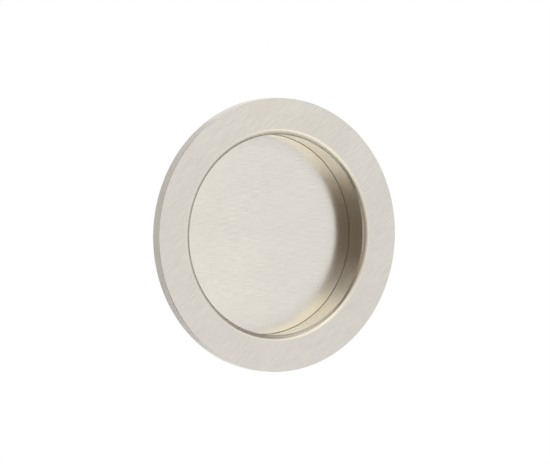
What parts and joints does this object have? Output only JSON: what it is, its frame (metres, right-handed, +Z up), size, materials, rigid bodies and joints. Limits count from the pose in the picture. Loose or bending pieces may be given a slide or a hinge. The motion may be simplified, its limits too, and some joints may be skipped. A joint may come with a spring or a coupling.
{
  "type": "pocket door pull",
  "caption": "Round flush cup pull for a pocket door: flat flange, rolled lip, straight-walled finger recess and a brushed cover disc over concealed screws.",
  "frame": {"origin": "centre of the flange's flat back face, where the pull seats on the door", "axes": "+Z up, -Y out of the door towards the hand, +Y into the door, +X to the right seen from the front"},
  "size_m": [0.0698, 0.0225, 0.0698],
  "materials": {
    "satin_nickel": "satin nickel plate over turned brass, fine straight grain on the flange, turned grain in the wall",
    "brushed_nickel": "straight brushed nickel plate over brass",
    "ring_rubber": "matt black rubber",
    "screw_steel": "bright zinc plate"
  },
  "bodies": {
    "root": {"pull_body": "satin_nickel", "cover_disc": "brushed_nickel", "retaining_ring": "ring_rubber", "screw_top": "screw_steel", "screw_bottom": "screw_steel"}
  },
  "joints": []
}
